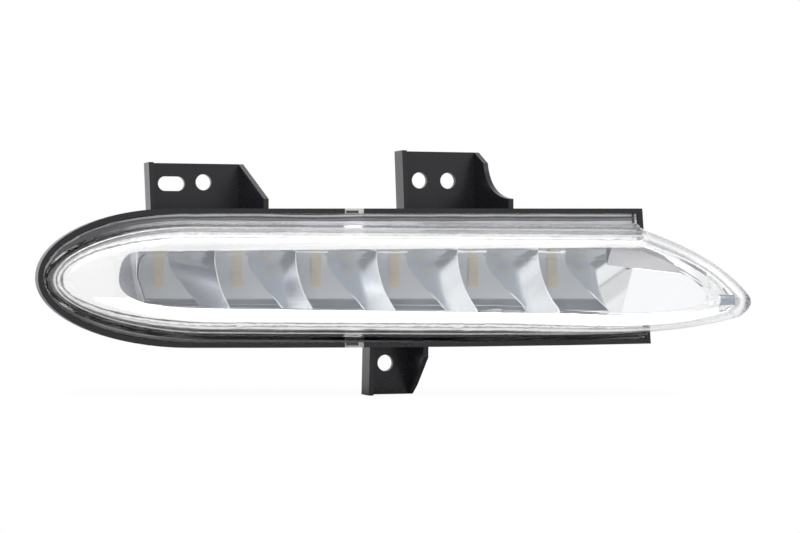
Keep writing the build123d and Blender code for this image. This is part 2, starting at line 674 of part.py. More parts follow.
def divider(index, wall=0.0, set_back=0.0):
    """Wedge after a cell: a slanting mirror that runs forward to a ridge, and a flank straight back from
    the ridge. The last has no flank: it ends at the blank end's flat back."""
    start = cell_u(index)
    deep, top, low = [Vector(*at(start + along, TROUGH_DEPTH - forward + set_back, level))
                      for along, forward, level in DIVIDER_CORNERS]
    mirror = Plane(origin=deep, x_dir=top - deep, z_dir=(top - deep).cross(low - deep))
    behind = mirror * Pos(0, 0, FAR / 2) * Box(FAR, FAR, FAR)
    if index == CELLS - 1:
        region = Pos(start + FAR / 2, 0) * Rectangle(FAR, FAR)
        return prism(region, END_DEPTH + wall, BODY_DEPTH) & behind
    ridge = [(start + along - wall, level) for along, level in DIVIDER_RIDGE]
    foot = (ridge[2][0], -FAR / 2)
    region = make_face([
        Bezier(*ridge),
        Polyline(ridge[2], foot, (start, foot[1]), (start, ridge[0][1]), ridge[0]),
    ])
    return prism(region, WINDOW_BACK, BODY_DEPTH) & behind


def post_places():
    """World x and y of the board's posts, inside the dividers' hollows."""
    places = []
    for index in POST_CELLS:
        u = cell_u(index) + DIVIDER_RIDGE[0][0] - POST_INSET
        places.append(at(u, TROUGH_DEPTH - POST_FORWARD, 0)[:2])
    return places


def end_pocket():
    """Hollow of the blank end: flat back, ceiling that rises towards the front."""
    left = RIM_END_TOP - END_WIDTH
    right_level = END_LINE_LEFT - END_LINE_FALL
    sections = []
    for depth, rise in ((END_DEPTH, 0.0), (WINDOW_BACK - CUT, END_CEILING_RISE)):
        sections.append((depth, make_face(Polyline(
            (left, END_LINE_LEFT + rise), (TIP_REACH, right_level + rise), (TIP_REACH, -RIM_BOTTOM),
            (left, -RIM_BOTTOM), close=True))))
    return skin(sections, ruled=True) & prism(window(), WINDOW_BACK - CUT, END_DEPTH)


def make_reflector():
    """Trough and dividers in one moulding, with a blank end, a flange and roof at the front, board posts and
    a screw ear."""
    frame = window(-REFLECTOR_WALL) & cap(TIP_INNER + FIT)
    opening = prism(window(), WINDOW_BACK - CUT, BODY_FLOOR)
    over_board = Pos(BOARD_LEFT - FIT + FAR / 2, 0) * Rectangle(FAR, FAR)
    opening += prism((Pos(0, CEILING_LIFT) * window()) & over_board, ROOF_BACK, BODY_FLOOR)
    opening -= prism(beyond_end(-END_WIDTH), WINDOW_BACK - 2 * CUT, END_DEPTH)
    cavity = opening & trough(0.0)
    for index in range(CELLS):
        cavity -= divider(index)
    body = prism(frame, WINDOW_BACK, BODY_FLOOR - FIT) & trough(REFLECTOR_WALL)
    body -= cavity
    for index in range(CELLS):
        body -= divider(index, REFLECTOR_WALL, DIVIDER_SET_BACK)
    body += prism(frame - window(), WINDOW_BACK, WINDOW_BACK + FLANGE_DEPTH)
    body -= end_pocket()
    for x, y in post_places():
        body += post(BOARD_LEVEL - POST_ROOT, BOARD_LEVEL, x, y, POST_RADIUS)
    half_ear = EAR_SPACING / 2 + BOSS_RADIUS
    body += block((EAR_PLACE * COS - BOSS_RADIUS, EAR_FRONT, MIDDLE_LEVEL - half_ear),
                  (WINDOW_LEFT * COS - FIT, EAR_BACK, MIDDLE_LEVEL + half_ear))
    above = Pos(0, BOARD_LEVEL + FAR / 2) * Rectangle(2 * FAR, FAR)
    body -= prism(above, ROOF_BACK, BODY_DEPTH)
    for x, y in post_places():
        body -= post(BOARD_LEVEL - SCREW_LENGTH, BOARD_LEVEL + CUT, x, y, SCREW_RADIUS + TAP_FIT)
    for x, z in ear_screw_places():
        body -= rod(EAR_FRONT - CUT, EAR_BACK + CUT, x, z, SCREW_RADIUS + FIT)
    return body


def make_bezel():
    """Chrome ring: foot on the channel wall, convex outer slope, crest, face that dips to the window."""
    base = CHANNEL_WALL_TOP - BEZEL_FOOT
    rise = BEZEL_CREST + base
    crest = BEZEL_EDGE + BEZEL_SLOPE_WIDTH
    sections = [(base - share * rise, cap(BEZEL_EDGE + inset * BEZEL_SLOPE_WIDTH))
                for share, inset in BEZEL_PROFILE]
    sections.append((-BEZEL_CREST, cap(crest, CREST_RISE)))
    ring = skin(sections)
    ring += prism(cap(CHANNEL_INNER + FIT) - beyond_end(POCKET_END - FIT), base, CHANNEL_WALL_TOP)
    ring += prism(window(-BEZEL_WALL) & cap(TIP_INNER + FIT), base, WINDOW_BACK)
    crest_edge = cap(crest + CREST_WIDTH, CREST_RISE)
    ring -= skin([(-BEZEL_CREST, crest_edge), (-WINDOW_DEPTH, window())], ruled=True)
    ring -= skin([(-WINDOW_DEPTH, window()), (WINDOW_BACK, window(WINDOW_TAPER_WIDTH))], ruled=True)
    ring -= prism(cap(BEZEL_EDGE + BEZEL_WALL) - window(-BEZEL_WALL), -BEZEL_HOLLOW, WINDOW_BACK)
    start = Plane(origin=at(TIP_REACH - PIN_INSET, -PIN_FRONT, TIP_UPPER - PIN_DROP), z_dir=(COS, -SIN, 0))
    return ring + start * Cylinder(PIN_RADIUS, PIN_LENGTH, align=LOW_END)


BOARD_TOP = BOARD_LEVEL + BOARD_THICKNESS
BOARD_RIGHT = RIM_END_TOP - BOARD_END_GAP
BOARD_BACK = BODY_FLOOR - BOARD_CLEARANCE
BOARD_FRONT = ROOF_BACK + FIT
PART_ROW = BOARD_BACK - PART_SET_BACK
SINK_BACK = BOARD_BACK - SINK_SET_BACK
SINK_FRONT = SINK_BACK - SINK_WIDTH
SINK_LEFT = BOARD_LEFT + HEADER_LENGTH + SINK_MARGIN
SINK_RIGHT = BOARD_RIGHT - SINK_MARGIN
PAD_TOP = BOARD_TOP + PAD_THICKNESS


def make_led_board():
    board = slab(BOARD_LEFT, BOARD_RIGHT, BOARD_FRONT, BOARD_BACK, BOARD_LEVEL, BOARD_TOP)
    for x, y in post_places():
        board -= post(BOARD_LEVEL - CUT, BOARD_TOP + CUT, x, y, SCREW_RADIUS + FIT)
    return board


def make_led(index):
    """Ceramic base under the board with a raised phosphor plate, its rear edge at the trough's focal line."""
    x, y, _ = at(cell_u(index) - (TROUGH_DEPTH - LED_DEPTH) * SIN, LED_DEPTH, 0)
    along_row = Pos(x, y, BOARD_LEVEL) * Rot(0, 0, -SWEEP)
    base = along_row * Pos(0, 0, -LED_BASE / 2) * Box(LED_SIZE, LED_SIZE, LED_BASE)
    plate_height = LED_HEIGHT - LED_BASE
    plate_drop = LED_BASE + plate_height / 2
    return base + along_row * Pos(0, 0, -plate_drop) * Box(PHOSPHOR_SIZE, PHOSPHOR_SIZE, plate_height)


def make_thermal_pad():
    return slab(SINK_LEFT, SINK_RIGHT, SINK_FRONT, SINK_BACK, BOARD_TOP, PAD_TOP)


def make_heat_sink():
    base_top = PAD_TOP + SINK_BASE
    sink = slab(SINK_LEFT, SINK_RIGHT, SINK_FRONT, SINK_BACK, PAD_TOP, base_top)
    pitch = (SINK_BACK - SINK_FRONT - FIN_THICKNESS) / (FIN_COUNT - 1)
    for fin in range(FIN_COUNT):
        front = SINK_FRONT + fin * pitch
        sink += slab(SINK_LEFT, SINK_RIGHT, front, front + FIN_THICKNESS, base_top, base_top + SINK_HEIGHT)
    return sink


def screw_down(x, y, seat):
    return (post(seat, seat + SCREW_HEAD_HEIGHT, x, y, SCREW_HEAD_RADIUS)
            + post(seat - BOARD_THICKNESS - SCREW_LENGTH + CUT, seat, x, y, SCREW_RADIUS))


def make_board_screws():
    return Compound(children=[screw_down(x, y, BOARD_TOP) for x, y in post_places()])


def make_ear_screws():
    screws = []
    for x, z in ear_screw_places():
        screws.append(rod(EAR_FRONT - SCREW_HEAD_HEIGHT, EAR_FRONT, x, z, SCREW_HEAD_RADIUS)
                      + rod(EAR_FRONT, EAR_BACK + SCREW_LENGTH - CUT, x, z, SCREW_RADIUS))
    return Compound(children=screws)


def on_board(u, length, width, height):
    """Small block on the board's upper side, in the row behind the heat sink."""
    x, y, z = at(u, PART_ROW, BOARD_TOP)
    return Pos(x, y, z) * Box(length, width, height, align=LOW_END)


def make_driver_chip():
    return on_board(FIRST_CELL + CHIP_CELL * CELL_PITCH, CHIP_SIZE, CHIP_SIZE, CHIP_HEIGHT)


def make_driver_coil():
    coil = on_board(FIRST_CELL + COIL_CELL * CELL_PITCH, COIL_SIZE, COIL_SIZE, COIL_HEIGHT)
    return chamfer(coil.edges().filter_by(Axis.Z), COIL_CHAMFER)


def make_ballast_resistors():
    places = [FIRST_CELL + (index + RESISTOR_CELL) * CELL_PITCH for index in range(CELLS)]
    return Compound(children=[on_board(u, RESISTOR_LENGTH, RESISTOR_WIDTH, RESISTOR_HEIGHT) for u in places])


PLUG_LEFT = BOARD_LEFT + FIT
PLUG_FRONT = PART_ROW - HEADER_WIDTH / 2
PLUG_BACK = PART_ROW + HEADER_WIDTH / 2


def make_harness_plug():
    right = PLUG_LEFT + HEADER_LENGTH
    return slab(PLUG_LEFT, right, PLUG_FRONT, PLUG_BACK, BOARD_TOP, BOARD_TOP + HEADER_HEIGHT)


def make_board_header():
    left = PLUG_LEFT + HEADER_LENGTH
    return slab(left, left + HEADER_LENGTH, PLUG_FRONT, PLUG_BACK, BOARD_TOP, BOARD_TOP + HEADER_HEIGHT)


def make_lead(index):
    """Wire from the harness plug, over the board's end and down to a terminal's tail."""
    x, y, z = at(PLUG_LEFT, PART_ROW + (index - 0.5) * LEAD_SPACING, BOARD_TOP + HEADER_HEIGHT / 2)
    end_x = terminal_x(index)
    drop = TAIL_FRONT - LEAD_DROP
    path = FilletPolyline((x, y, z), (x - LEAD_RUN, y, z), (end_x, drop, BOARD_LEVEL),
                          (end_x, drop, SOCKET_Z), (end_x, TAIL_FRONT, SOCKET_Z), radius=LEAD_BEND)
    start = Plane(origin=path @ 0, z_dir=path % 0)
    return sweep(start * Circle(LEAD_RADIUS), path=path)


PIECES = {
    "housing": make_housing(),
    "lens": make_lens(),
    "lens_seal": make_lens_seal(),
    "bezel": make_bezel(),
    "reflector": make_reflector(),
    "led_board": make_led_board(),
    "thermal_pad": make_thermal_pad(),
    "heat_sink": make_heat_sink(),
    "board_screws": make_board_screws(),
    "ear_screws": make_ear_screws(),
    "driver_chip": make_driver_chip(),
    "driver_coil": make_driver_coil(),
    "ballast_resistors": make_ballast_resistors(),
    "board_header": make_board_header(),
    "harness_plug": make_harness_plug(),
    "vent_membrane": make_vent_membrane(),
    "vent_cap": make_vent_cap(),
}
for index in range(CELLS):
    PIECES["led_%d" % (index + 1)] = make_led(index)
for index, name in enumerate(("feed", "ground")):
    PIECES["terminal_" + name] = make_terminal(index)
    PIECES["lead_" + name] = make_lead(index)

# The origin goes to the middle of the two holes in the middle bracket, on the plate's rear face
ORIGIN = through(MIDDLE_PLATE_RIGHT, MIDDLE_HOLES_INSET, MIDDLE_HOLES_RISE, UPPER_PLATE_DEPTH)
SHIFT = Location((-ORIGIN[0], -ORIGIN[1] - PLATE, -ORIGIN[2]))

os.makedirs("parts", exist_ok=True)
for name, piece in PIECES.items():
    export_step(piece.moved(SHIFT), os.path.join("parts", name + ".step"))
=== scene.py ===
import math

import bpy
import numpy as np
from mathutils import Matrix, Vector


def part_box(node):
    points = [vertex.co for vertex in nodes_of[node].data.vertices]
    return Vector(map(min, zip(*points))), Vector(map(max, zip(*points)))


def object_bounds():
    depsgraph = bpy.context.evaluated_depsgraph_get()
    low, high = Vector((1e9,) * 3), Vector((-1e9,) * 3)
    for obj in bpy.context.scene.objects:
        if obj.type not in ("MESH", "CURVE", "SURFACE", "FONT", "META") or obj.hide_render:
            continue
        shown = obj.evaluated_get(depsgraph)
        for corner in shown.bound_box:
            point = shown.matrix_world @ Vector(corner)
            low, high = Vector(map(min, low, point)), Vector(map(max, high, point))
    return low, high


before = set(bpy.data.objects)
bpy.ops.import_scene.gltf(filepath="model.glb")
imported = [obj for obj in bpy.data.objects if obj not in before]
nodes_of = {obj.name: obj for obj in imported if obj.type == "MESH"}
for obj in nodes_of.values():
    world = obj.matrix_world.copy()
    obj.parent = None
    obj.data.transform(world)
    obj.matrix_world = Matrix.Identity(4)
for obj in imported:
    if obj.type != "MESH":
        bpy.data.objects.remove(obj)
cad_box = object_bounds()
scene = bpy.context.scene
scene.view_settings.view_transform = "Standard"
# Light goes back and forth between the chrome walls behind the lens, so it is followed further
scene.cycles.max_bounces = 32
scene.cycles.glossy_bounces = 16
scene.cycles.transmission_bounces = 24

# Sizes shared with the solids, in metres, and the sweep of the face
SWEEP = math.radians(18.0)
SIN, COS, TAN = math.sin(SWEEP), math.cos(SWEEP), math.tan(SWEEP)
LAMP_ORIGIN = np.array([0.0261, 0.033914, 0.0434])

# Camera: distance and level in metres, lens and sensor in millimetres
CAMERA_AWAY = 0.9245
CAMERA_LEVEL = 0.004945
CAMERA_LENS = 96.75
CAMERA_SENSOR = 36.0

# Studio: the surround's share that lights the lamp, and the floor's edges in metres, colour and glow
SURROUND_LIGHT = 0.75
FLOOR_LEFT, FLOOR_RIGHT = -0.75, 0.75
FLOOR_FRONT, FLOOR_BACK = -0.22, 0.5
FLOOR_PAINT = (0.62, 0.61, 0.64, 1.0)
FLOOR_ROUGHNESS = 0.9
FLOOR_WHITE_SHARE = 0.9
FLOOR_GLOW = 1.05

# Studio lamps: place and aim in metres, width and height in metres, power in watts
LAMP_AIM = (0.0, 0.0, -0.04)
KEY_LAMP = ("key", (-0.5, -0.6, 0.9), LAMP_AIM, 1.2, 0.8, 6.5)
FILL_LAMP = ("fill", (0.7, -0.5, 0.5), LAMP_AIM, 1.0, 0.8, 3.5)

# Lens channel: its width, the centre, length and height of its round left end, how far the painted light
# goes past it, and the tabs' place along the face, in metres
CHANNEL_WIDTH = 0.006
UPPER_END = (-0.0935, 0.0601, 0.0278)
LOWER_END = (-0.0861, 0.0675, -0.0280)
CHANNEL_LIGHT_MARGIN = 0.0003
TAB_PLACE = -0.0196

# Edges of the places with a finish of their own, or with painted light: the channel's painted light and the
# tabs' frames of painted highlight. Each pair gives where a mask is nought and where it is one, in metres
# along the face, behind it or above the lamp's level, and for the tabs from their middle and either way
# from that level.
TAB_SIDE = (0.0026, 0.0028)
TAB_OUTER = (0.0290, 0.0292)
TAB_INNER = (0.0275, 0.0273)
TAB_FRAME_SIDE = (0.0041, 0.0040)
TAB_FRAME_INNER = (0.0266, 0.0268)
CHANNEL_LIGHT_LEVEL = (0.0, 0.001)
CHANNEL_LIGHT_LEFT = (-0.122, -0.082)
CHANNEL_LIGHT_RIGHT = (0.1018, 0.1016)
CHANNEL_LIGHT_FRONT = (0.0004, 0.0005)
CHANNEL_BACK = (0.0062, 0.0060)
TIP_CORE_LEFT = (0.1079, 0.1081)
TIP_CORE_BACK = (0.0304, 0.0303)
END_CEILING_LEFT = (0.0900, 0.0902)
END_CEILING_BACK = (0.0119, 0.0118)
END_CEILING_FOOT = (-0.0040, -0.0038)
END_WALL_RIGHT = (-0.1085, -0.1087)
DIVIDERS_LEFT = (-0.1087, -0.1085)
DIVIDERS_RIGHT = (0.0922, 0.0920)
PIN_LEFT = (0.1330, 0.1332)
PIN_BACK = (-0.0081, -0.0083)
PIN_FOOT = (-0.0120, -0.0118)
PIN_TOP = (-0.0066, -0.0068)
BOARD_MARGIN = (0.0216, 0.0214)
LENS_WALL_FRONT = (-0.0126, -0.0120)
LENS_TIP_LEFT = (0.1040, 0.1060)
LENS_EDGE_FOOT = (-0.0175, -0.0125)
LENS_EDGE_FRONT = (-0.0095, -0.0055)
SEAL_MIDDLE = (0.001, -0.001)
SEAL_ROUND_END = (-0.098, -0.130)

# Edges as shares: of the way across the channel, of the middle's mask, and of a normal along the face
CHANNEL_LIGHT_INSET = (0.02, 0.03)
SEAL_UPPER_DARK = (0.13, 0.17)
SEAL_LOWER_DARK = (0.38, 0.42)
SEAL_UPPER_HALF = (0.6, 0.4)
DIVIDER_TURN = (0.2, 0.3)

# Patterns: the middle of the noise's range, scales in cycles per metre, stretches along x, y and z, and
# reliefs and the chrome's softened edge in metres
NOISE_LOW, NOISE_HIGH = 0.3, 0.7
CHROME_STRETCH = (1.0, 1.0, 0.1)
SEAL_STRETCH = (0.12, 0.12, 0.6)
PLASTIC_TONE, PLASTIC_GRAIN, PLASTIC_RELIEF = 60.0, 1800.0, 0.000012
CHROME_TONE, CHROME_GLOSS, CHROME_LINES = 40.0, 90.0, 1200.0
CHROME_PEEL, CHROME_RELIEF, CHROME_EDGE = 140.0, 0.000004, 0.0004
METAL_LINES, METAL_RELIEF = 900.0, 0.00001
LENS_CLOUD = 50.0
SEAL_SMEAR, SEAL_RELIEF = 160.0, 0.0001
PHOSPHOR_GRAIN, PHOSPHOR_RELIEF = 3000.0, 0.00001

# Roughness: how far it varies about a mean, by a share of it for chrome, its two ends, or its mean
PLASTIC_VARIES, METAL_VARIES = 0.06, 0.08
CHROME_VARIES, DULL_VARIES = 0.3, 0.2
HOUSING_ROUGHNESS = (0.2, 0.32)
BOARD_ROUGHNESS = (0.35, 0.5)
SEAL_ROUGHNESS = (0.5, 0.3)
LED_ROUGHNESS = (0.4, 0.55)
BEZEL_ROUGHNESS = 0.03
REFLECTOR_ROUGHNESS = 0.08
LENS_HAZE, LENS_WALL_HAZE, LENS_EDGE_HAZE = 0.012, 0.12, 0.35

# Gloss of plastic, how far the sealant's lines wander, and the clear plastic's index, colour and density
PLASTIC_SPECULAR = 0.4
SEAL_WANDER = 0.07
LENS_INDEX = 1.5
LENS_BODY = (0.8, 0.8, 0.83, 1.0)
LENS_DENSITY = 25.0

# Colours, darkest and lightest, and the number of LEDs
HOUSING_BLACK = ((0.0075, 0.0075, 0.0105), (0.011, 0.011, 0.015))
# The next colour is painted light on the black housing: the upper channel painted lighter as if lit from
# above, painted highlights round the tabs' pockets, and a lighter core at the tip.
HOUSING_PAINTED_LIGHT = ((0.7, 0.69, 0.69), (0.8, 0.79, 0.79))
BEZEL_CHROME = ((0.93, 0.93, 0.92), (0.96, 0.96, 0.95))
REFLECTOR_CHROME = ((0.975, 0.983, 0.993), (0.985, 0.991, 0.998))
BOARD_WHITE = ((0.93, 0.945, 0.97), (0.95, 0.965, 0.985))
BOARD_BARE = ((0.3, 0.315, 0.35), (0.4, 0.415, 0.45))
LENS_CLEAR, LENS_FROSTED = (0.99, 0.993, 0.995), (0.66, 0.66, 0.68)
SEAL_DARK = ((0.02, 0.018, 0.018), (0.07, 0.062, 0.06))
LED_PHOSPHOR = ((0.985, 0.86, 0.67), (0.998, 0.92, 0.76))
LED_CERAMIC = (0.86, 0.86, 0.84, 1.0)
LEDS = 6

# Duller zones of the chrome: darkest and lightest colour, and roughness
PIN_FILM = ((0.3, 0.33, 0.38), (0.36, 0.39, 0.44), 0.2)
CEILING_FILM = ((0.4, 0.395, 0.415), (0.48, 0.475, 0.495), 0.4)
END_WALL_FILM = ((0.7, 0.7, 0.73), (0.86, 0.86, 0.89), 0.35)
DIVIDER_FILM = ((0.92, 0.945, 0.98), (0.95, 0.97, 0.995), 0.15)

# Lines of the sealant from the channel's outer wall inwards: share of the way across, and colour. The
# light lines are painted highlights of the lens's edge. The upper lines are painted lighter as painted
# light, and the lower ones darker as painted shade.
UPPER_LINES_AND_LIGHT = [(0.06, (0.02, 0.02, 0.022)), (0.1, (0.95, 0.95, 1.0)), (0.2, (0.8, 0.81, 0.87)),
               (0.24, (0.03, 0.03, 0.04)), (0.36, (0.06, 0.065, 0.08)), (0.4, (0.35, 0.36, 0.4)),
               (0.46, (0.22, 0.22, 0.25)), (0.49, (0.05, 0.04, 0.035)), (0.52, (0.07, 0.055, 0.05)),
               (0.56, (0.95, 0.96, 1.0))]
LOWER_LINES_AND_SHADE = [(0.1, (0.02, 0.02, 0.022)), (0.22, (0.06, 0.05, 0.045)), (0.26, (0.45, 0.44, 0.43)),
               (0.34, (0.4, 0.39, 0.38)), (0.38, (0.05, 0.04, 0.036)), (0.6, (0.09, 0.07, 0.062)),
               (0.85, (0.04, 0.032, 0.03))]

# Moulded pieces: finish, darkest and lightest colour, roughness, and the nodes that have it
MOULDED_PIECES = [
    ("vent_black", (0.014, 0.014, 0.015), (0.02, 0.02, 0.022), 0.5, ["vent_cap"]),
    ("pad_grey", (0.42, 0.44, 0.47), (0.5, 0.52, 0.55), 0.7, ["thermal_pad"]),
    ("chip_black", (0.012, 0.012, 0.013), (0.02, 0.02, 0.021), 0.45, ["driver_chip", "ballast_resistors"]),
    ("coil_ferrite", (0.05, 0.05, 0.054), (0.075, 0.075, 0.08), 0.6, ["driver_coil"]),
    ("header_nylon", (0.66, 0.63, 0.54), (0.74, 0.71, 0.62), 0.5, ["board_header", "harness_plug"]),
    ("membrane_white", (0.8, 0.8, 0.8), (0.88, 0.88, 0.88), 0.85, ["vent_membrane"]),
    ("lead_red", (0.4, 0.03, 0.025), (0.5, 0.045, 0.035), 0.45, ["lead_feed"]),
    ("lead_black", (0.012, 0.012, 0.012), (0.02, 0.02, 0.02), 0.45, ["lead_ground"]),
]

# Plain metal pieces: the same, with the stretch of their fine lines along x, y and z before the nodes
DRAWN_PIECES = [
    ("sink_aluminium", (0.68, 0.69, 0.7), (0.78, 0.79, 0.8), 0.35, (0.05, 0.05, 1.0), ["heat_sink"]),
    ("screw_zinc", (0.55, 0.55, 0.57), (0.66, 0.66, 0.68), 0.3, (1.0, 1.0, 1.0),
     ["board_screws", "ear_screws"]),
    ("terminal_brass", (0.72, 0.6, 0.36), (0.82, 0.7, 0.46), 0.25, (1.0, 0.05, 1.0),
     ["terminal_feed", "terminal_ground"]),
]


def at(u, depth, v):
    """Row-frame point of lamp coordinates: u along the swept face, depth straight back, v up."""
    return np.array([u * COS, depth - u * SIN, v]) - LAMP_ORIGIN


def camera_at_photo_angle():
    """Camera on the normal of the swept face, level with the middle of the picture."""
    data = bpy.data.cameras.new("camera")
    data.lens = CAMERA_LENS
    data.sensor_width = CAMERA_SENSOR
    camera = bpy.data.objects.new("camera", data)
    camera.location = at(0.0, 0.0, CAMERA_LEVEL) - CAMERA_AWAY * np.array([SIN, COS, 0.0])
    camera.rotation_euler = (math.radians(90.0), 0.0, -SWEEP)
    scene.collection.objects.link(camera)
    scene.camera = camera


def lamp(name, place, aim, width, height, power):
    """Soft rectangular studio lamp that points from its place to its aim."""
    data = bpy.data.lights.new(name, "AREA")
    data.shape = "RECTANGLE"
    data.size = width
    data.size_y = height
    data.energy = power
    light = bpy.data.objects.new(name, data)
    light.location = place
    towards = np.array(aim) - np.array(place)
    yaw = math.atan2(towards[0], towards[1])
    pitch = math.atan2(towards[2], math.hypot(towards[0], towards[1]))
    light.rotation_euler = (math.radians(90.0) + pitch, 0.0, -yaw)
    scene.collection.objects.link(light)


def combined(tree, operation, values):
    """Values joined one after the other by a sum, a product or the larger of two."""
    total = values[0]
    for value in values[1:]:
        node = tree.nodes.new("ShaderNodeMath")
        node.operation = operation
        tree.links.new(total, node.inputs[0])
        tree.links.new(value, node.inputs[1])
        total = node.outputs["Value"]
    return total


def all_of(tree, values):
    """One where every mask is one: the masks' product."""
    return combined(tree, "MULTIPLY", values)


def any_of(tree, values):
    """One where any mask is one: the largest mask."""
    return combined(tree, "MAXIMUM", values)


def single(tree, operation, value):
    """Absolute value or square root of a value."""
    node = tree.nodes.new("ShaderNodeMath")
    node.operation = operation
    tree.links.new(value, node.inputs[0])
    return node.outputs["Value"]


def seen_rays(tree, rays):
    """One for the named kinds of ray, nought for the others."""
    path = tree.nodes.new("ShaderNodeLightPath")
    return any_of(tree, [path.outputs[ray] for ray in rays])


def shared(tree, share, first, second):
    """Surface that goes from a first shader to a second by a share."""
    both = tree.nodes.new("ShaderNodeMixShader")
    tree.links.new(share, both.inputs["Fac"])
    tree.links.new(first, both.inputs[1])
    tree.links.new(second, both.inputs[2])
    tree.links.new(both.outputs["Shader"], tree.nodes["Material Output"].inputs["Surface"])


def white_surround():
    """World that the camera, metal and glass see as white, and that lights the lamp less strongly."""
    world = bpy.data.worlds.new("studio")
    world.use_nodes = True
    scene.world = world
    tree = world.node_tree
    background = tree.nodes["Background"]
    strength = tree.nodes.new("ShaderNodeMapRange")
    strength.inputs["To Min"].default_value = SURROUND_LIGHT
    strength.inputs["To Max"].default_value = 1.0
    rays = ("Is Camera Ray", "Is Glossy Ray", "Is Transmission Ray")
    tree.links.new(seen_rays(tree, rays), strength.inputs["Value"])
    tree.links.new(strength.outputs["Result"], background.inputs["Strength"])
    background.inputs["Color"].default_value = (1.0, 1.0, 1.0, 1.0)


def sheet_mesh(name, corners):
    """Flat sheet: one face through four corners in turn."""
    mesh = bpy.data.meshes.new(name)
    mesh.from_pydata(corners, [], [(0, 1, 2, 3)])
    sheet = bpy.data.objects.new(name, mesh)
    scene.collection.objects.link(sheet)
    return sheet


def pale_floor():
    """Pale floor at the lowest bracket, white to the camera and glass apart from the lamp's shadow."""
    level = cad_box[0][2]
    floor = sheet_mesh("floor", [(FLOOR_LEFT, FLOOR_FRONT, level), (FLOOR_RIGHT, FLOOR_FRONT, level),
                                 (FLOOR_RIGHT, FLOOR_BACK, level), (FLOOR_LEFT, FLOOR_BACK, level)])
    made = bpy.data.materials.new("pale_floor")
    made.use_nodes = True
    tree = made.node_tree
    paint = tree.nodes["Principled BSDF"]
    paint.inputs["Base Color"].default_value = FLOOR_PAINT
    paint.inputs["Roughness"].default_value = FLOOR_ROUGHNESS
    glow = tree.nodes.new("ShaderNodeEmission")
    glow.inputs["Strength"].default_value = FLOOR_GLOW
    seen = seen_rays(tree, ("Is Camera Ray", "Is Transmission Ray"))
    white = step(tree, seen, 0.0, 1.0, FLOOR_WHITE_SHARE)
    shared(tree, white, paint.outputs["BSDF"], glow.outputs["Emission"])
    floor.data.materials.append(made)


def material(name):
    """New node material with its Principled shader and an Object coordinate."""
    made = bpy.data.materials.new(name)
    made.use_nodes = True
    tree = made.node_tree
    shader = tree.nodes["Principled BSDF"]
    place = tree.nodes.new("ShaderNodeTexCoord").outputs["Object"]
    return made, tree, shader, place


def lamp_measure(tree, place, along, start):
    """Distance of a point along a row-frame direction from a start: their dot product less the start."""
    product = tree.nodes.new("ShaderNodeVectorMath")
    product.operation = "DOT_PRODUCT"
    product.inputs[1].default_value = along
    tree.links.new(place, product.inputs[0])
    rest = tree.nodes.new("ShaderNodeMath")
    rest.operation = "SUBTRACT"
    rest.inputs[1].default_value = start
    tree.links.new(product.outputs["Value"], rest.inputs[0])
    return rest.outputs["Value"]


def depth_behind_face(tree, place):
    """Depth of a point straight back from the swept face: y + x times the sweep's tangent."""
    return lamp_measure(tree, place, (TAN, 1.0, 0.0), -LAMP_ORIGIN[1] - LAMP_ORIGIN[0] * TAN)


def reach_right(tree, place, start=0.0):
    """Place of a point along the swept face from a start: x over the sweep's cosine."""
    return lamp_measure(tree, place, (1.0 / COS, 0.0, 0.0), start - LAMP_ORIGIN[0] / COS)


def height_in_lamp(tree, place):
    """Height of a point above the lamp's own level."""
    return lamp_measure(tree, place, (0.0, 0.0, 1.0), -LAMP_ORIGIN[2])


def step(tree, value, low, high, share=1.0):
    """Nought below low, and one or a share of it above high, or the other way round."""
    node = tree.nodes.new("ShaderNodeMapRange")
    node.inputs["From Min"].default_value = low
    node.inputs["From Max"].default_value = high
    node.inputs["To Max"].default_value = share
    tree.links.new(value, node.inputs["Value"])
    return node.outputs["Result"]


def blended(tree, mask, base, other):
    """Colour or value that goes from a base to another by a mask."""
    node = tree.nodes.new("ShaderNodeMix")
    node.data_type = "RGBA"
    tree.links.new(mask, node.inputs["Factor"])
    tree.links.new(base, node.inputs["A"])
    tree.links.new(other, node.inputs["B"])
    return node.outputs["Result"]


def noise(tree, place, scale, detail=4.0, roughness=0.5):
    """Noise value between 0 and 1 at a scale in cycles per metre."""
    node = tree.nodes.new("ShaderNodeTexNoise")
    node.inputs["Scale"].default_value = scale
    node.inputs["Detail"].default_value = detail
    node.inputs["Roughness"].default_value = roughness
    tree.links.new(place, node.inputs["Vector"])
    return node.outputs["Fac"]


def stretched(tree, place, stretch):
    """Coordinates that make a pattern longer along the axes with a small share."""
    node = tree.nodes.new("ShaderNodeMapping")
    node.inputs["Scale"].default_value = stretch
    tree.links.new(place, node.inputs["Vector"])
    return node.outputs["Vector"]


def spread(tree, value, low, high):
    """Maps a value from the middle of the noise's range to low and high."""
    node = tree.nodes.new("ShaderNodeMapRange")
    node.inputs["From Min"].default_value = NOISE_LOW
    node.inputs["From Max"].default_value = NOISE_HIGH
    node.inputs["To Min"].default_value = low
    node.inputs["To Max"].default_value = high
    tree.links.new(value, node.inputs["Value"])
    return node.outputs["Result"]


def banded(tree, value, stops):
    """Colour that runs through stops, each a place from 0 to 1 and a colour."""
    ramp = tree.nodes.new("ShaderNodeValToRGB")
    bands = ramp.color_ramp.elements
    while len(bands) < len(stops):
        bands.new(1.0)
    for band, (place, colour) in zip(bands, stops):
        band.position = place
        band.color = (*colour, 1.0)
    tree.links.new(value, ramp.inputs["Fac"])
    return ramp.outputs["Color"]


def two_tone(tree, value, low, high):
    """Colour between two colours by a value in the middle of the noise's range."""
    return banded(tree, value, [(NOISE_LOW, low), (NOISE_HIGH, high)])


def bump(tree, shader, value, height):
    """Bump of a height in metres from a value."""
    node = tree.nodes.new("ShaderNodeBump")
    node.inputs["Strength"].default_value = 1.0
    node.inputs["Distance"].default_value = height
    tree.links.new(value, node.inputs["Height"])
    tree.links.new(node.outputs["Normal"], shader.inputs["Normal"])
    return node


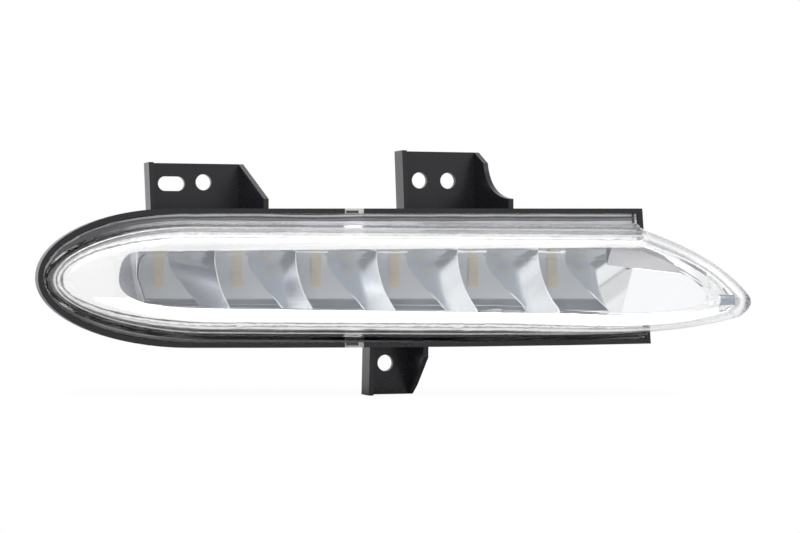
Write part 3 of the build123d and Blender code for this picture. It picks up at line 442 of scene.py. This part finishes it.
def grained(tree, shader, place, smooth, rough):
    """Fine spark-eroded grain of moulded plastic, and roughness that follows it from smooth to rough."""
    fine = noise(tree, place, PLASTIC_GRAIN, detail=2.0)
    tree.links.new(spread(tree, fine, smooth, rough), shader.inputs["Roughness"])
    shader.inputs["Specular IOR Level"].default_value = PLASTIC_SPECULAR
    bump(tree, shader, fine, PLASTIC_RELIEF)


def moulded(name, low, high, roughness):
    """Moulded plastic: slow change of tone, and a fine grain."""
    made, tree, shader, place = material(name)
    tree.links.new(two_tone(tree, noise(tree, place, PLASTIC_TONE), low, high), shader.inputs["Base Color"])
    grained(tree, shader, place, roughness - PLASTIC_VARIES, roughness + PLASTIC_VARIES)
    return made


def across_channel(tree, place, centre, length, height):
    """Share of the way in from the channel's outer wall, as the inset of a half ellipse at the left end
    that runs on as a straight band: 1 - sqrt(along squared + up squared), in units of the height."""
    along = step(tree, reach_right(tree, place), centre, centre - length)
    up = step(tree, height_in_lamp(tree, place), 0.0, height)
    squares = [all_of(tree, [along, along]), all_of(tree, [up, up])]
    out = single(tree, "SQRT", combined(tree, "ADD", squares))
    return step(tree, out, 1.0, 1.0 - CHANNEL_WIDTH / abs(height))


def across_upper(tree, place, margin=0.0):
    """Share of the way across the channel above the middle, from a margin outside its outer line."""
    centre, length, height = UPPER_END
    return across_channel(tree, place, centre, length + margin, height + margin)


def across_lower(tree, place):
    """Share of the way across the channel below the middle."""
    return across_channel(tree, place, *LOWER_END)


def tab_highlight_frames(tree, place):
    """One on the frame of the two pockets that the lens's tabs sit in, where the housing gets a painted
    highlight of the tabs' rounded edges.
    """
    aside = single(tree, "ABSOLUTE", reach_right(tree, place, TAB_PLACE))
    out = single(tree, "ABSOLUTE", height_in_lamp(tree, place))
    border = any_of(tree, [step(tree, aside, *TAB_SIDE), step(tree, out, *TAB_OUTER),
                           step(tree, out, *TAB_INNER)])
    return all_of(tree, [border, step(tree, aside, *TAB_FRAME_SIDE), step(tree, out, *TAB_FRAME_INNER)])


def painted_light_under_lens(tree, place):
    """One on the housing where it gets painted light under the lens: in the upper channel right of the
    round end, on the core of the tip and in the tabs' pockets."""
    reach = reach_right(tree, place)
    depth = depth_behind_face(tree, place)
    inset = across_upper(tree, place, CHANNEL_LIGHT_MARGIN)
    channel = all_of(tree, [step(tree, inset, *CHANNEL_LIGHT_INSET),
                            step(tree, height_in_lamp(tree, place), *CHANNEL_LIGHT_LEVEL),
                            step(tree, reach, *CHANNEL_LIGHT_LEFT), step(tree, reach, *CHANNEL_LIGHT_RIGHT),
                            step(tree, depth, *CHANNEL_BACK), step(tree, depth, *CHANNEL_LIGHT_FRONT)])
    core = all_of(tree, [step(tree, reach, *TIP_CORE_LEFT), step(tree, depth, *TIP_CORE_BACK)])
    pockets = all_of(tree, [tab_highlight_frames(tree, place), step(tree, depth, *CHANNEL_BACK)])
    return any_of(tree, [channel, core, pockets])


def housing_finish(name):
    """Black moulded plastic with a fine grain, and painted light where the lens covers it: the upper
    channel painted lighter as if lit from above, painted highlights round the tabs' pockets, and a lighter
    core at the tip.
    """
    made, tree, shader, place = material(name)
    tone = noise(tree, place, PLASTIC_TONE)
    black = two_tone(tree, tone, *HOUSING_BLACK)
    lit_colour = two_tone(tree, tone, *HOUSING_PAINTED_LIGHT)
    # The lighter colour here is painted light and painted highlight on the black housing, not its own
    # colour.
    tree.links.new(blended(tree, painted_light_under_lens(tree, place), black, lit_colour), shader.inputs["Base Color"])
    grained(tree, shader, place, *HOUSING_ROUGHNESS)
    return made


def metal_film(name, low, high, roughness, zones):
    """Bright metal film on plastic: faint change of tone and gloss, a little orange peel, and zones with
    a duller, lined film, each given by a mask, two colours and a roughness."""
    made, tree, shader, place = material(name)
    lines = noise(tree, stretched(tree, place, CHROME_STRETCH), CHROME_LINES, detail=2.0)
    colour = two_tone(tree, noise(tree, place, CHROME_TONE), low, high)
    gloss = spread(tree, noise(tree, place, CHROME_GLOSS), roughness * (1.0 - CHROME_VARIES),
                   roughness * (1.0 + CHROME_VARIES))
    for mask_of, dull_low, dull_high, dull_roughness in zones:
        mask = mask_of(tree, place)
        satin = spread(tree, lines, dull_roughness * (1.0 - DULL_VARIES),
                       dull_roughness * (1.0 + DULL_VARIES))
        colour = blended(tree, mask, colour, two_tone(tree, lines, dull_low, dull_high))
        gloss = blended(tree, mask, gloss, satin)
    tree.links.new(colour, shader.inputs["Base Color"])
    tree.links.new(gloss, shader.inputs["Roughness"])
    shader.inputs["Metallic"].default_value = 1.0
    peel = bump(tree, shader, noise(tree, place, CHROME_PEEL, detail=1.0), CHROME_RELIEF)
    rounded = tree.nodes.new("ShaderNodeBevel")
    rounded.samples = 4
    rounded.inputs["Radius"].default_value = CHROME_EDGE
    tree.links.new(rounded.outputs["Normal"], peel.inputs["Normal"])
    return made


def over_end_ceiling(tree, place):
    """One on the sloping ceiling of the reflector's blank right end."""
    return all_of(tree, [step(tree, reach_right(tree, place), *END_CEILING_LEFT),
                         step(tree, depth_behind_face(tree, place), *END_CEILING_BACK),
                         step(tree, height_in_lamp(tree, place), *END_CEILING_FOOT)])


def left_of_cells(tree, place):
    """One on the reflector's end wall, left of its first cell."""
    return step(tree, reach_right(tree, place), *END_WALL_RIGHT)


def on_dividers(tree, place):
    """One on the dividers between the cells, whose faces look along the swept face, unlike the trough's:
    the share of the normal along the face, either way."""
    normal = tree.nodes.new("ShaderNodeNewGeometry").outputs["True Normal"]
    along = single(tree, "ABSOLUTE", lamp_measure(tree, normal, (COS, -SIN, 0.0), 0.0))
    reach = reach_right(tree, place)
    return all_of(tree, [step(tree, along, *DIVIDER_TURN), step(tree, reach, *DIVIDERS_LEFT),
                         step(tree, reach, *DIVIDERS_RIGHT)])


def round_pin(tree, place):
    """One on the bezel's pin at the tip: near its axis and not as far in as the face."""
    height = height_in_lamp(tree, place)
    return all_of(tree, [step(tree, reach_right(tree, place), *PIN_LEFT),
                         step(tree, depth_behind_face(tree, place), *PIN_BACK),
                         step(tree, height, *PIN_FOOT), step(tree, height, *PIN_TOP)])


def board_finish(name):
    """White solder mask, and a bare grey margin along the front edge."""
    made, tree, shader, place = material(name)
    mask = step(tree, depth_behind_face(tree, place), *BOARD_MARGIN)
    tone = noise(tree, place, PLASTIC_TONE)
    white = two_tone(tree, tone, *BOARD_WHITE)
    bare = two_tone(tree, tone, *BOARD_BARE)
    tree.links.new(blended(tree, mask, white, bare), shader.inputs["Base Color"])
    fine = noise(tree, place, PLASTIC_GRAIN, detail=2.0)
    tree.links.new(spread(tree, fine, *BOARD_ROUGHNESS), shader.inputs["Roughness"])
    return made


def drawn_metal(name, low, high, roughness, stretch):
    """Plain metal with fine lines along the way it was drawn or turned."""
    made, tree, shader, place = material(name)
    lines = noise(tree, stretched(tree, place, stretch), METAL_LINES, detail=3.0)
    tree.links.new(two_tone(tree, lines, low, high), shader.inputs["Base Color"])
    rough = spread(tree, lines, roughness - METAL_VARIES, roughness + METAL_VARIES)
    tree.links.new(rough, shader.inputs["Roughness"])
    shader.inputs["Metallic"].default_value = 1.0
    bump(tree, shader, lines, METAL_RELIEF)
    return made


def lens_edge(tree, place):
    """One on the deep wall of the lens's tip, right of the rim's end and above the tip's underside."""
    return all_of(tree, [step(tree, reach_right(tree, place), *LENS_TIP_LEFT),
                         step(tree, height_in_lamp(tree, place), *LENS_EDGE_FOOT),
                         step(tree, depth_behind_face(tree, place), *LENS_EDGE_FRONT)])


def lens_finish(name):
    """Polished clear plastic that lets the lamps' light through to what is behind it, with a trace of haze,
    a little more of it on the steep wall behind the crowned front, and a frosted edge round the tip."""
    made, tree, shader, place = material(name)
    wall = step(tree, depth_behind_face(tree, place), *LENS_WALL_FRONT)
    edge = lens_edge(tree, place)
    tint = banded(tree, edge, [(0.0, LENS_CLEAR), (1.0, LENS_FROSTED)])
    tree.links.new(tint, shader.inputs["Base Color"])
    haze = spread(tree, noise(tree, place, LENS_CLOUD), 0.0, LENS_HAZE)
    blur = any_of(tree, [step(tree, wall, 0.0, 1.0, LENS_WALL_HAZE),
                         step(tree, edge, 0.0, 1.0, LENS_EDGE_HAZE)])
    tree.links.new(combined(tree, "ADD", [haze, blur]), shader.inputs["Roughness"])
    shader.inputs["Transmission Weight"].default_value = 1.0
    shader.inputs["IOR"].default_value = LENS_INDEX
    open_way = tree.nodes.new("ShaderNodeBsdfTransparent")
    lamp_light = seen_rays(tree, ("Is Shadow Ray",))
    shared(tree, lamp_light, shader.outputs["BSDF"], open_way.outputs["BSDF"])
    body = tree.nodes.new("ShaderNodeVolumeAbsorption")
    body.inputs["Color"].default_value = LENS_BODY
    body.inputs["Density"].default_value = LENS_DENSITY
    tree.links.new(body.outputs["Volume"], tree.nodes["Material Output"].inputs["Volume"])
    return made


def sealant(name):
    """Grey sealant: light and dark lines that follow the channel, the light ones painted highlights of the
    lens's edge, lighter above the middle as painted light and darker below as painted shade, smeared along
    it, dark round the left end, half glossy."""
    made, tree, shader, place = material(name)
    smear = noise(tree, stretched(tree, place, SEAL_STRETCH), SEAL_SMEAR, roughness=0.6)
    wander = spread(tree, smear, -SEAL_WANDER, SEAL_WANDER)
    above = combined(tree, "ADD", [across_upper(tree, place), wander])
    below = combined(tree, "ADD", [across_lower(tree, place), wander])
    low = step(tree, height_in_lamp(tree, place), *SEAL_MIDDLE)
    # The light lines are painted highlights. The upper lines are painted light and the lower lines painted
    # shade.
    lines = blended(tree, low, banded(tree, above, UPPER_LINES_AND_LIGHT), banded(tree, below, LOWER_LINES_AND_SHADE))
    dark = two_tone(tree, smear, *SEAL_DARK)
    upper_dark = all_of(tree, [step(tree, above, *SEAL_UPPER_DARK), step(tree, low, *SEAL_UPPER_HALF)])
    lower_dark = all_of(tree, [step(tree, below, *SEAL_LOWER_DARK), low])
    round_end = all_of(tree, [step(tree, reach_right(tree, place), *SEAL_ROUND_END),
                              any_of(tree, [upper_dark, lower_dark])])
    tree.links.new(blended(tree, round_end, lines, dark), shader.inputs["Base Color"])
    tree.links.new(spread(tree, smear, *SEAL_ROUGHNESS), shader.inputs["Roughness"])
    bump(tree, shader, smear, SEAL_RELIEF)
    return made


def led_finish(name, package_level):
    """White ceramic package above a level, and below it the yellow phosphor plate with a fine powder
    grain."""
    made, tree, shader, place = material(name)
    parts = tree.nodes.new("ShaderNodeSeparateXYZ")
    tree.links.new(place, parts.inputs["Vector"])
    above = tree.nodes.new("ShaderNodeMath")
    above.operation = "GREATER_THAN"
    above.inputs[1].default_value = package_level
    tree.links.new(parts.outputs["Z"], above.inputs[0])
    grain = noise(tree, place, PHOSPHOR_GRAIN, detail=2.0)
    both = tree.nodes.new("ShaderNodeMix")
    both.data_type = "RGBA"
    both.inputs["B"].default_value = LED_CERAMIC
    tree.links.new(above.outputs["Value"], both.inputs["Factor"])
    tree.links.new(two_tone(tree, grain, *LED_PHOSPHOR), both.inputs["A"])
    tree.links.new(both.outputs["Result"], shader.inputs["Base Color"])
    tree.links.new(spread(tree, grain, *LED_ROUGHNESS), shader.inputs["Roughness"])
    bump(tree, shader, grain, PHOSPHOR_RELIEF)
    return made


def dress(made, names):
    """Gives CAD nodes their finish."""
    for name in names:
        slots = nodes_of[name].data.materials
        slots.clear()
        slots.append(made)


def dress_all():
    """Finishes of all the nodes: the lamp's front, the LED board, then the plain pieces from the lists."""
    dress(housing_finish("housing_black"), ["housing"])
    dress(lens_finish("lens_clear"), ["lens"])
    dress(sealant("channel_sealant"), ["lens_seal"])
    pin = (round_pin, *PIN_FILM)
    dress(metal_film("bezel_chrome", *BEZEL_CHROME, BEZEL_ROUGHNESS, [pin]), ["bezel"])
    duller = [(over_end_ceiling, *CEILING_FILM), (left_of_cells, *END_WALL_FILM),
              (on_dividers, *DIVIDER_FILM)]
    dress(metal_film("reflector_chrome", *REFLECTOR_CHROME, REFLECTOR_ROUGHNESS, duller), ["reflector"])
    dress(board_finish("board_white"), ["led_board"])
    lowest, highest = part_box("led_1")
    amber = led_finish("led_amber", (lowest[2] + highest[2]) / 2)
    dress(amber, ["led_%d" % (index + 1) for index in range(LEDS)])
    for *finish, names in MOULDED_PIECES:
        dress(moulded(*finish), names)
    for *finish, names in DRAWN_PIECES:
        dress(drawn_metal(*finish), names)


camera_at_photo_angle()
white_surround()
pale_floor()
lamp(*KEY_LAMP)
lamp(*FILL_LAMP)
dress_all()
